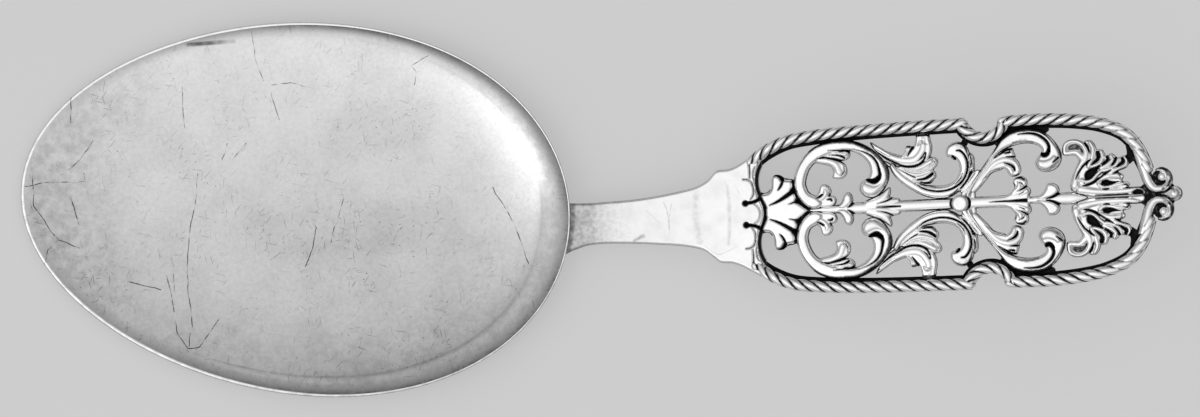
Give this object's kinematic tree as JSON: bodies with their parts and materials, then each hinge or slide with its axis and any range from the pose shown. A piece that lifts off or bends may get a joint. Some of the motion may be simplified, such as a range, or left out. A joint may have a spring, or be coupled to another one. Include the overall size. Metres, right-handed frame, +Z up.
{
  "type": "pastry server",
  "caption": "Flat serving utensil with a dished oval blade, a short flat shank and an openwork scroll grip in a rope border, for lifting slices of cake or pastry.",
  "frame": {"origin": "on the blade's flat underside, on the handle's axis, level with the middle of the blade", "axes": "+X along the handle towards its tip, +Z up from the table, +Y to the left of the handle seen from the blade"},
  "size_m": [0.2389, 0.0779, 0.0223],
  "materials": {
    "blade_silver": "worn satin silver with fine scratches",
    "shank_silver": "polished silver, softly worn",
    "strip_silver": "silver under black patina",
    "rope_silver": "twisted silver wire with dark patina between the strands",
    "cast_silver": "chased cast silver, bright crests and black patina in the recesses"
  },
  "bodies": {
    "root": {"blade": "blade_silver", "shank": "shank_silver", "upper_border_strip": "strip_silver", "lower_border_strip": "strip_silver", "upper_border_rope": "rope_silver", "lower_border_rope": "rope_silver", "tip_bead": "rope_silver", "palmette": "cast_silver", "centre_boss": "cast_silver", "front_stem": "cast_silver", "upper_c_scroll": "cast_silver", "lower_c_scroll": "cast_silver", "upper_s_scroll": "cast_silver", "lower_s_scroll": "cast_silver", "upper_leaf_spray": "cast_silver", "lower_leaf_spray": "cast_silver", "upper_branch_scroll": "cast_silver", "lower_branch_scroll": "cast_silver", "rear_stem": "cast_silver", "upper_branch_leaf": "cast_silver", "lower_branch_leaf": "cast_silver", "rear_bud": "cast_silver", "upper_acanthus_leaf": "cast_silver", "lower_acanthus_leaf": "cast_silver"}
  },
  "joints": []
}
